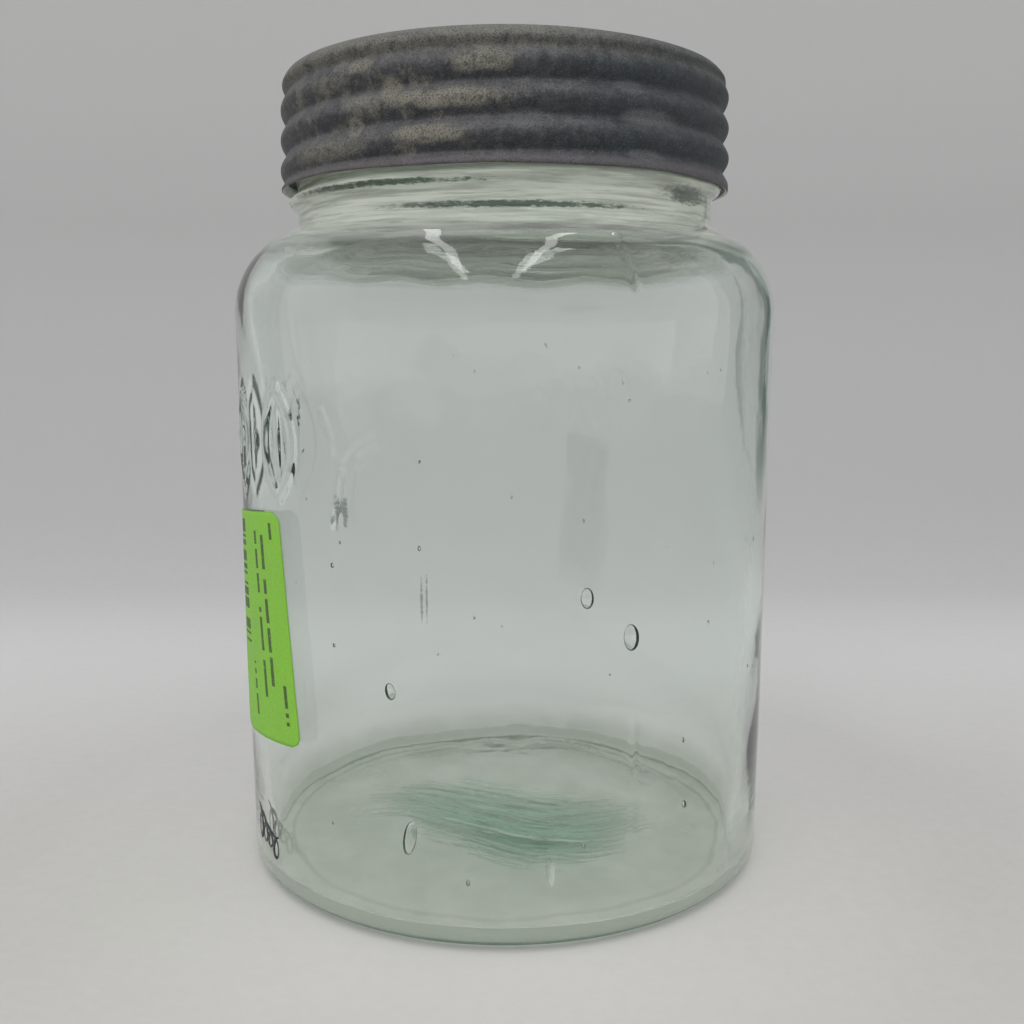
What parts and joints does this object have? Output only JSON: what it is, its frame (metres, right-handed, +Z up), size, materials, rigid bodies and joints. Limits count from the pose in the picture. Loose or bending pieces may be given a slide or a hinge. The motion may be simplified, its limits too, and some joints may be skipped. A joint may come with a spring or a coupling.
{
  "type": "mason jar",
  "caption": "Squat pale green glass canning jar with a ribbed zinc screw cap, an opal glass liner inside the cap and a blank price label.",
  "frame": {"origin": "centre of the circle that the jar stands on", "axes": "+Z up along the jar's axis towards the cap, -Y the front, the label on the front left"},
  "size_m": [0.0882, 0.0882, 0.1277],
  "materials": {
    "green_glass": "pale green soda glass with bubbles, waves and a mould seam",
    "aged_zinc": "dark oxidised zinc with chalky corrosion patches",
    "opal_glass": "white opal pressed glass, glossy",
    "label_paper": null
  },
  "bodies": {
    "jar": {"jar_body": "green_glass", "price_label": "label_paper"},
    "liner": {"cap_liner": "opal_glass"},
    "cap": {"screw_cap": "aged_zinc"}
  },
  "joints": [
    {"name": "cap_lift", "type": "slide", "parent": "jar", "child": "liner", "axis": [0, 0, 1], "range_m": [0, 0.0161]},
    {"name": "cap_turn", "type": "hinge", "parent": "liner", "child": "cap", "pos_m": [0, 0, 0.1], "axis": [0, 0, 1], "range_deg": [0, 1260]}
  ],
  "couplings": [
    {"joint": "cap_lift", "follows": "cap_turn", "m_per_rad": 0.00073211}
  ]
}
